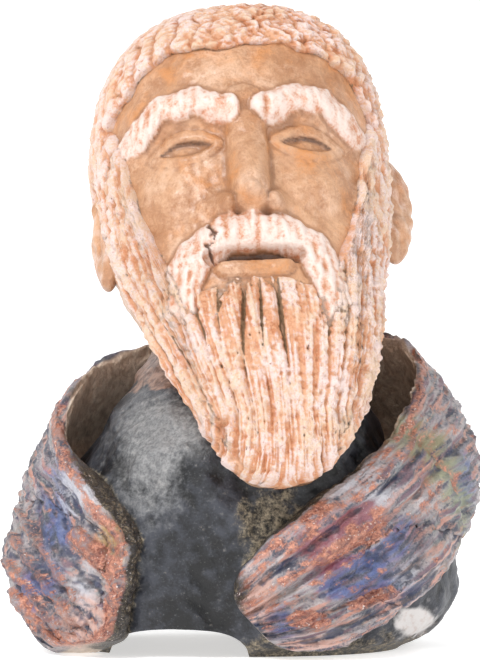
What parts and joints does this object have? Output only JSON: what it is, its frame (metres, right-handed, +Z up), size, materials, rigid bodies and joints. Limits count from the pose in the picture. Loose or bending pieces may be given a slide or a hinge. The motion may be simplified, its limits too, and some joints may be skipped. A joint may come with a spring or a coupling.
{
  "type": "fired clay figurine, bust of a bearded old man",
  "caption": "Small fired-clay bust of a bearded old man looking up, with cropped hair and a thick shawl, standing on its own flat underside.",
  "frame": {"origin": "middle of the footprint, on the surface that the figurine stands on", "axes": "+Z up, the figure looks towards -Y, +X to the right of someone facing it"},
  "size_m": [0.059, 0.0572, 0.0798],
  "materials": {
    "fired_clay": "unglazed tan clay rubbed with white slip",
    "smoked_clay": "smoked black clay with a dull burnish",
    "lustre_glaze": "blue, violet and green glaze broken by copper-coloured ridges"
  },
  "bodies": {
    "root": {"figurine": "fired_clay"}
  },
  "joints": []
}
